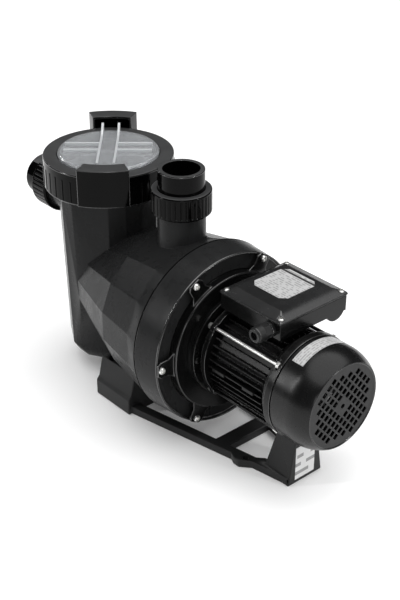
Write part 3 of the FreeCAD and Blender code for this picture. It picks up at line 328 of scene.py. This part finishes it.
def clear():
    """Clear polycarbonate, a little milky, with the slight waviness of a moulding."""
    made = Finish("lid_clear", Base_Color=(0.82, 0.84, 0.86, 1), IOR=1.45,
                  Transmission_Weight=0.78)
    made.feed("Roughness", 0.06 + made.noise(10, 4.0) * 0.10)
    made.bump(made.noise(12, 2.0), 0.25, 0.5)
    return made.material


def laminations():
    """A stack of thin steel sheets, seen on edge."""
    made = Finish("laminations", Metallic=0.9)
    sheets = made.node("ShaderNodeTexWave", {"bands_direction": "X"}, Vector=made.place(),
                       Scale=600.0)
    made.feed("Base Color", made.blend(made.noise(10), grey(0.16), grey(0.26)))
    made.feed("Roughness", 0.45 + (made.noise(4) - 0.5) * 0.2)
    made.bump(sheets, 0.05)
    return made.material


def winding():
    """Enamelled wire laid round the end turns."""
    made = Finish("copper_enamel", Metallic=0.9, Coat_Weight=0.4)
    strands = made.node("ShaderNodeTexWave", {"wave_type": "RINGS", "rings_direction": "X"},
                        Vector=made.place(), Scale=160.0, Distortion=2.0)
    made.feed("Base Color", made.blend(strands, (0.30, 0.10, 0.04, 1), (0.62, 0.27, 0.12, 1)))
    made.feed("Roughness", 0.35 + strands * 0.15)
    made.bump(strands, 0.25)
    return made.material


def pale(name, colour, rough, grain, **fixed):
    """Light plastic, ceramic or label film: nearly even, with a faint cloud and grain."""
    made = Finish(name, **fixed)
    shade = tuple(c * 0.88 for c in colour[:3]) + (1,)
    made.feed("Base Color", made.blend(made.noise(20, 3.0), colour, shade))
    made.feed("Roughness", rough + (made.noise(6, 3.0) - 0.5) * 0.12)
    made.bump(made.noise(0.8, 2.0), grain)
    return made.material


ROW_HEIGHT = 0.42       # a bar's height, as a share of the pitch of the rows
ROW_SHIFT = 3.7         # moves the noise on from row to row, so that the rows differ
BAR_STRETCH = 0.9       # a smaller stretch makes longer bars
BAR_NOISE = 0.8
BAR_LEVEL = 0.48        # the noise above this is printed
NO_BAND = (0, 0)


def printed(name, along, across, pitch, paper=0.50, ink=0.6, band=NO_BAND):
    """Label film with generic print: rows of short grey bars, nothing that can be read.

    The rows run along one axis of the object and follow each other across another, where
    a solid band covers the stretch between two positions.
    """
    made = Finish(name)
    point = made.node("ShaderNodeTexCoord", {}, out="Object")
    axes = made.node("ShaderNodeSeparateXYZ", {}, Vector=point)
    separate = axes.socket.node.outputs
    place = Value(made, separate[across])
    row_at = place / (pitch * MM)
    bar_at = Value(made, separate[along]) / (pitch * MM)
    row = made.node("ShaderNodeMath", {"operation": "FLOOR"}, row_at)
    line = made.node("ShaderNodeMath", {"operation": "FRACT"}, row_at) < ROW_HEIGHT
    where = made.node("ShaderNodeCombineXYZ", {}, bar_at * BAR_STRETCH, row * ROW_SHIFT, 0.0)
    bars = made.node("ShaderNodeTexNoise", {"noise_dimensions": "2D"}, Vector=where,
                     Scale=BAR_NOISE, Detail=1.0) > BAR_LEVEL
    film = made.blend(made.noise(20), grey(paper), grey(paper * 0.9))
    rows = made.blend(line * bars * ink, film, grey(paper * 0.18))
    solid = (place > band[0] * MM) * (place < band[1] * MM)
    made.feed("Base Color", made.blend(solid, rows, grey(0.03)))
    made.feed("Roughness", 0.36 + made.noise(4) * 0.08)
    made.bump(line * bars, 0.01, 0.3)
    return made.material


# moulded: name, level of grey, roughness, grain, shine, spread of the roughness
# glossy, enamel: name, level, roughness, shine; plated: name, colour, roughness, stretch
# pale: name, colour, roughness, grain
finishes = {
    "body_black": moulded("charcoal_body", 0.015, 0.29, 0.04, 0.09, 0.24),
    "plate_black": moulded("plate_satin", 0.003, 0.20, 0.03, 0.22),
    "base_black": moulded("base_satin", 0.016, 0.40, 0.04, 0.22),
    "box_grey": moulded("box_satin", 0.015, 0.26, 0.03, 0.30),
    "nylon_black": moulded("glass_filled_nylon", 0.010, 0.44, 0.05, 0.25),
    "ring_gloss": glossy("ring_gloss", 0.001, 0.09, 0.09),
    "union_gloss": glossy("union_gloss", 0.001, 0.08, 0.09),
    "cover_black": moulded("cover_semi_gloss", 0.005, 0.27, 0.03, 0.25),
    "motor_black": enamel("motor_enamel", 0.003, 0.28, 0.22),
    "zinc": plated("zinc_plate", (0.82, 0.82, 0.80, 1), 0.30, (0.06, 1, 1)),
    "stainless": plated("stainless_ground", (0.42, 0.42, 0.42, 1), 0.34, (0.2, 1, 1)),
    "rubber": rubber(),
    "clear": clear(),
    "laminations": laminations(),
    "copper": winding(),
    "basket_white": pale("basket_polypropylene", (0.55, 0.56, 0.56, 1), 0.42, 0.04),
    "ceramic_white": pale("seal_ceramic", (0.80, 0.78, 0.72, 1), 0.12, 0.005),
    "can_aluminium": plated("can_aluminium", (0.75, 0.75, 0.76, 1), 0.30, (0.15, 1, 1)),
    "label_white": pale("label_film", (0.50, 0.51, 0.51, 1), 0.38, 0.004),
}

rating_print = printed("rating_print", "X", "Y", 4.2, band=(54, 58))
strip_print = printed("strip_print", "Y", "X", 3.6)
base_print = printed("base_print", "Y", "Z", 13.0, 0.80, 0.75)
groove = moulded("groove_shadow", 0.001, 0.7, 0.02, 0.0)
# A glossier, lighter finish for the rounded edges: painted edge highlights.
painted_edge_highlight = glossy("painted_edge_highlight", 0.02, 0.20, 1.0)
# Whiter, less clear finish for the lid's ribs: a painted highlight along them.
lid_rib_painted_highlight = pale("lid_rib_painted_highlight", (0.88, 0.90, 0.92, 1), 0.14, 0.01, Transmission_Weight=0.5)
# Satin texture for the upward faces of the lock ring and union nuts; its lighter grey is painted
# light from above.
satin_top_painted_light = moulded("ring_top_satin_painted_light", 0.036, 0.45, 0.04, 0.36)
cover_face = moulded("cover_face_matt", 0.012, 0.50, 0.05, 0.3)


# Mesh helpers ---------------------------------------------------------------------------

WELD = 0.01             # triangles that share a corner are this close
FLAT = 0.2              # degrees; faces that turn less than this are one flat face
SHARP = 32.0            # degrees; edges that turn more than this are rounded or stay crisp
NARROW = 28.0           # degrees; edges that meet at less than this aren't rounded
FACET_TURN = 5.0        # degrees between two facets
FACET_AREA = 900.0      # square millimetres of the smallest facet
SHORTEST = 0.6          # the shortest edge that is rounded, in widths of the rounding
KEEP_FLAT = 100         # how far the large faces decide the normals beside them
TOP_FACES = 0.8         # a top face's normal has more than this of its length along Z
END_FACES = 0.9         # the same along X, for the face at the motor's end
# The pieces whose rounded edges get the painted edge highlight.
EDGE_HIGHLIGHT_NODES = {"volute_ring", "seal_plate", "front_shield", "rear_shield", "fan_cover",
            "terminal_box", "box_lid", "lock_ring", "discharge_union_end",
            "suction_union_end", "gland_nut", "gland_body"}


def piece(name, work, node, finish=None):
    """Make an object of a bmesh: it rides on its node's body and carries its finish."""
    mesh = bpy.data.meshes.new(name)
    work.to_mesh(mesh)
    work.free()
    made = scene_object(name, mesh)
    mesh.materials.append(finish or finishes[slot_of[node]])
    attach(made, body_of[node])
    return made


def welded(node):
    """A closed copy of a CAD node's mesh, its flat faces whole again."""
    work = bmesh.new()
    work.from_mesh(nodes[node].data)
    bmesh.ops.remove_doubles(work, verts=work.verts, dist=WELD * MM)
    bmesh.ops.dissolve_limit(work, angle_limit=math.radians(FLAT), verts=work.verts,
                             edges=work.edges, use_dissolve_boundaries=False)
    return work


def is_facet(edge):
    """True for an edge between two large flat faces that turn."""
    return (edge.calc_face_angle(0) > math.radians(FACET_TURN)
            and min(face.calc_area() for face in edge.link_faces) > FACET_AREA * MM * MM)


def meets_narrowly(edge, chosen):
    """True if a chosen edge leaves the same corner of the same face at a narrow angle."""
    for vertex in edge.verts:
        along = edge.other_vert(vertex).co - vertex.co
        for other in vertex.link_edges:
            if other is edge or other not in chosen:
                continue
            if not set(other.link_faces) & set(edge.link_faces):
                continue
            if along.angle(other.other_vert(vertex).co - vertex.co) < math.radians(NARROW):
                return True
    return False


def bevel(work, edges, width, segments, slot=-1, clamp=True):
    """Round these edges; the new faces take the slot given, or that of their neighbours."""
    bmesh.ops.bevel(work, geom=edges, offset=width * MM, offset_type="OFFSET",
                    segments=segments, profile=0.5, material=slot, affect="EDGES",
                    clamp_overlap=clamp)


def round_edges(work, width, sharp=SHARP, segments=2, facets=False, slot=-1):
    """Round the edges that turn by more than sharp degrees and, if asked, the facets'."""
    chosen = [e for e in work.edges
              if len(e.link_faces) == 2
              and e.calc_length() > width * MM * SHORTEST
              and (e.calc_face_angle(0) > math.radians(sharp) or facets and is_facet(e))]
    together = set(chosen)
    chosen = [e for e in chosen if not meets_narrowly(e, together)]
    bevel(work, chosen, width, segments, slot, clamp=False)


def soften(made):
    """Smooth shading that keeps flat faces flat."""
    mesh = made.data
    mesh.shade_smooth()
    mesh.set_sharp_from_angle(angle=math.radians(SHARP))
    normals = made.modifiers.new("flat_faces", "WEIGHTED_NORMAL")
    normals.keep_sharp = True
    normals.weight = KEEP_FLAT


def refined(node, width=0, facets=False):
    """Replace a CAD node by a copy with rounded edges; on the glossy pieces the edges carry a
    painted highlight.
    """
    work = welded(node)
    edge_highlit = node in EDGE_HIGHLIGHT_NODES
    if width:
        round_edges(work, width, facets=facets, slot=1 if edge_highlit else -1)
        bmesh.ops.triangulate(work, faces=[face for face in work.faces if len(face.verts) > 4])
    made = piece(node + "_shaped", work, node)
    if edge_highlit:
        made.data.materials.append(painted_edge_highlight)
    soften(made)
    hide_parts(node)
    return made


def everywhere(middle, normal):
    return True


def faces_up(middle, normal):
    return normal.z > TOP_FACES


def faces_back(middle, normal):
    return normal.x > END_FACES


def repaint(made, finish, chosen=everywhere):
    """Give the faces for which chosen(middle, normal) holds another finish."""
    made.data.materials.append(finish)
    for face in made.data.polygons:
        if chosen(face.center, face.normal):
            face.material_index = len(made.data.materials) - 1


# Added details --------------------------------------------------------------------------

def lathe(work, profile, centre, steps=96):
    """Turn a closed profile of (along X, radius) pairs about a line along X."""
    loop = [work.verts.new((centre.x + x, centre.y, centre.z + r)) for x, r in profile]
    edges = [work.edges.new((loop[i - 1], loop[i])) for i in range(len(loop))]
    bmesh.ops.spin(work, geom=loop + edges, cent=centre, axis=(1, 0, 0),
                   angle=math.tau, steps=steps, use_merge=True)
    bmesh.ops.remove_doubles(work, verts=work.verts, dist=WELD * MM)
    bmesh.ops.recalc_face_normals(work, faces=work.faces)


SEAM_HALF = 0.9         # half the width of the dark line
SEAM_DEPTH = 0.1        # how far it lies below the ring's outer face


def seam_line():
    """The thin dark joint between the pump body and the volute ring."""
    low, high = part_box("volute_ring")
    radius = (high.z - low.z) / 2 - SEAM_DEPTH * MM
    half = SEAM_HALF * MM
    work = bmesh.new()
    lathe(work, ((-half, radius - MM), (-half, radius), (half, radius), (half, radius - MM)),
          Vector((low.x, 0, SHAFT_Z)))
    soften(piece("seam_line", work, "body_o_ring", groove))


BEAD_OUT = 0.9          # the bead stands out this far from the lid's sides
BEAD_HEIGHT = 2.2
BEAD_MIDDLE = 1.7       # above the lid's lower edge
BEAD_CORNER = 5.0
BEAD_EDGE = 0.9


def box_lid_bead():
    """The narrow bead round the lower edge of the terminal box lid."""
    low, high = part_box("box_lid")
    size = high - low
    work = bmesh.new()
    made = bmesh.ops.create_cube(work, size=1.0)["verts"]
    wider = 2 * BEAD_OUT * MM
    bmesh.ops.scale(work, verts=made, vec=(size.x + wider, size.y + wider, BEAD_HEIGHT * MM))
    bmesh.ops.translate(work, verts=made, vec=((low.x + high.x) / 2, (low.y + high.y) / 2,
                                               low.z + BEAD_MIDDLE * MM))
    upright = [e for e in work.edges if abs(e.verts[0].co.z - e.verts[1].co.z) > MM]
    bevel(work, upright, BEAD_CORNER, 6)
    round_edges(work, BEAD_EDGE, sharp=60.0, segments=3)
    soften(piece("box_lid_bead", work, "box_lid"))


RIBS = 40
RIB_REACH = 92.6        # from the ring's middle to the ribs' middle
RIB_MIDDLE = 18.0       # above the ring's lower edge
RIB_SIZE = Vector((1.3, 2.6, 30))
RIB_EDGE = 0.5
TAB_TURN = -41.0        # direction of the front grip tab, in degrees
TAB_HALF = 24.0         # the ribs leave this many degrees free each side of a tab


def lock_ring_ribs():
    """Slim upright ribs round the lock ring, between its two tabs."""
    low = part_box("lock_ring")[0]
    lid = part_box("clear_lid")
    centre = (lid[0] + lid[1]) / 2
    work = bmesh.new()
    for i in range(RIBS):
        angle = 360.0 / RIBS * i
        if abs((angle - TAB_TURN + 90) % 180 - 90) < TAB_HALF:
            continue
        made = bmesh.ops.create_cube(work, size=1.0)["verts"]
        bmesh.ops.scale(work, verts=made, vec=RIB_SIZE * MM)
        bmesh.ops.translate(work, verts=made,
                            vec=(RIB_REACH * MM, 0, low.z + RIB_MIDDLE * MM))
        bmesh.ops.rotate(work, verts=made, cent=(0, 0, 0),
                         matrix=Matrix.Rotation(math.radians(angle), 3, "Z"))
        bmesh.ops.translate(work, verts=made, vec=(centre.x, centre.y, 0))
    bevel(work, work.edges, RIB_EDGE, 2)
    soften(piece("lock_ring_ribs", work, "lock_ring"))


def islands(work):
    """The separate shells of a mesh, as lists of vertices."""
    seen = set()
    for start in work.verts:
        if start in seen:
            continue
        shell = [start]
        seen.add(start)
        for vertex in shell:
            for edge in vertex.link_edges:
                near = edge.other_vert(vertex)
                if near not in seen:
                    seen.add(near)
                    shell.append(near)
        yield shell


def screws(node, drive, socket):
    """Rebuild a group of screws: domed heads with a hexagon socket, shanks as in CAD.

    They are driven in along drive; socket is the radius of the hexagon's corners.
    """
    source = welded(node)
    way = Vector(drive)
    axis = max(range(3), key=lambda i: abs(way[i]))
    side = (axis + 1) % 3
    turn = way.to_track_quat("-Z", "Y").to_matrix()
    work = bmesh.new()
    for shell in islands(source):
        low = Vector([min(v.co[i] for v in shell) for i in range(3)])
        high = Vector([max(v.co[i] for v in shell) for i in range(3)])
        top = (low + high) / 2
        top[axis] = low[axis] if way[axis] > 0 else high[axis]
        size = high - low
        screw(work, top, turn, size[side] / 2, socket * MM, size[axis])
    source.free()
    made = piece(node + "_shaped", work, node)
    soften(made)
    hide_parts(node)


HEAD_HEIGHT = 0.62      # these are in radii of the head
CROWN = 0.72
DOME = 0.93
SHANK = 0.6
DOME_DROP = 0.35        # in heights of the head
SOCKET_DEPTH = 0.9      # in radii of the socket
STEPS = 24


def screw(work, top, turn, radius, socket, length):
    """One screw whose head faces +Z before it is turned; top is the crown of its head."""
    head = radius * HEAD_HEIGHT
    rings = ((socket, -socket * SOCKET_DEPTH, 6), (socket, 0, 6),
             (radius * CROWN, 0, STEPS), (radius * DOME, -head * DOME_DROP, STEPS),
             (radius, -head, STEPS), (radius * SHANK, -head, STEPS),
             (radius * SHANK, -length, STEPS))
    loops = []
    for size, height, count in rings:
        made = bmesh.ops.create_circle(work, cap_ends=False, segments=count, radius=size)["verts"]
        bmesh.ops.translate(work, verts=made, vec=(0, 0, height))
        loops.append(made)
    corners = [vertex for loop in loops for vertex in loop]
    for first, second in zip(loops, loops[1:]):
        bmesh.ops.bridge_loops(work, edges=ring_edges(first) + ring_edges(second))
    for loop in (loops[0], loops[-1]):
        bmesh.ops.contextual_create(work, geom=ring_edges(loop))
    faces = dict.fromkeys(face for vertex in corners for face in vertex.link_faces)
    bmesh.ops.recalc_face_normals(work, faces=list(faces))
    bmesh.ops.rotate(work, verts=corners, cent=(0, 0, 0), matrix=turn)
    bmesh.ops.translate(work, verts=corners, vec=top)


def ring_edges(loop):
    """The edges that join the vertices of one loop to each other."""
    members = set(loop)
    return list(dict.fromkeys(edge for vertex in loop for edge in vertex.link_edges
                              if edge.other_vert(vertex) in members))


# The pump -------------------------------------------------------------------------------

LID_PLATE_TOP = 339.5   # above the ground; what stands higher on the clear lid is its ribs
FACETED = ("pump_body", "base_frame")
EDGE_WIDTH = {          # of the rounded edges; at 0 the edges stay as they are
    "base_frame": 1.6, "pump_body": 0.9, "volute_ring": 1.1, "seal_plate": 1.0,
    "front_shield": 0.6, "motor_housing": 0.4, "rear_shield": 0.6, "fan_cover": 0.4,
    "terminal_box": 0.8, "box_lid": 0.7, "lock_ring": 1.1, "clear_lid": 0.5, "basket": 0.4,
    "basket_handle": 0, "discharge_nut": 0.8, "suction_nut": 0.8, "discharge_union_end": 0.9,
    "suction_union_end": 0.9, "gland_body": 0.4, "gland_nut": 0.3, "tie_rod_nuts": 0.3,
    "tie_rods": 0, "pot_drain_plug": 0.4, "base_screws": 0.3, "shield_bolts": 0.25,
    "cooling_fan": 0.3,
}

camera()
floor()
lights()

shaped = {node: refined(node, width, facets=node in FACETED)
          for node, width in EDGE_WIDTH.items()}
# The upward faces take the satin finish, whose lighter grey paints the light falling on the tops.
for node in ("lock_ring", "discharge_nut", "discharge_union_end", "suction_nut",
             "suction_union_end"):
    repaint(shaped[node], satin_top_painted_light, faces_up)
repaint(shaped["fan_cover"], cover_face, faces_back)
# The ribs above the lid's plate take the whiter finish that paints their highlight.
repaint(shaped["clear_lid"], lid_rib_painted_highlight, lambda middle, normal: middle.z > LID_PLATE_TOP * MM)
repaint(shaped["shield_bolts"], finishes["motor_black"])
repaint(shaped["terminal_box"], finishes["plate_black"])
# The two tie rods below the shaft take the motor's black: painted shade, where they lie in the
# shadow under the motor.
repaint(shaped["tie_rods"], finishes["motor_black"], lambda middle, normal: middle.z < SHAFT_Z)

seam_line()
box_lid_bead()
lock_ring_ribs()
screws("flange_screws", (-1, 0, 0), 3.0)
screws("box_lid_screws", (0, 0, -1), 2.2)
for node, finish in (("rating_label", rating_print), ("cover_label", strip_print),
                     ("base_label", base_print)):
    repaint(refined(node), finish)

# The nodes that no new piece replaces show their CAD shape in the finish of their slot.
for node, made in nodes.items():
    if not made.hide_render:
        made.data.materials.clear()
        made.data.materials.append(finishes[slot_of[node]])
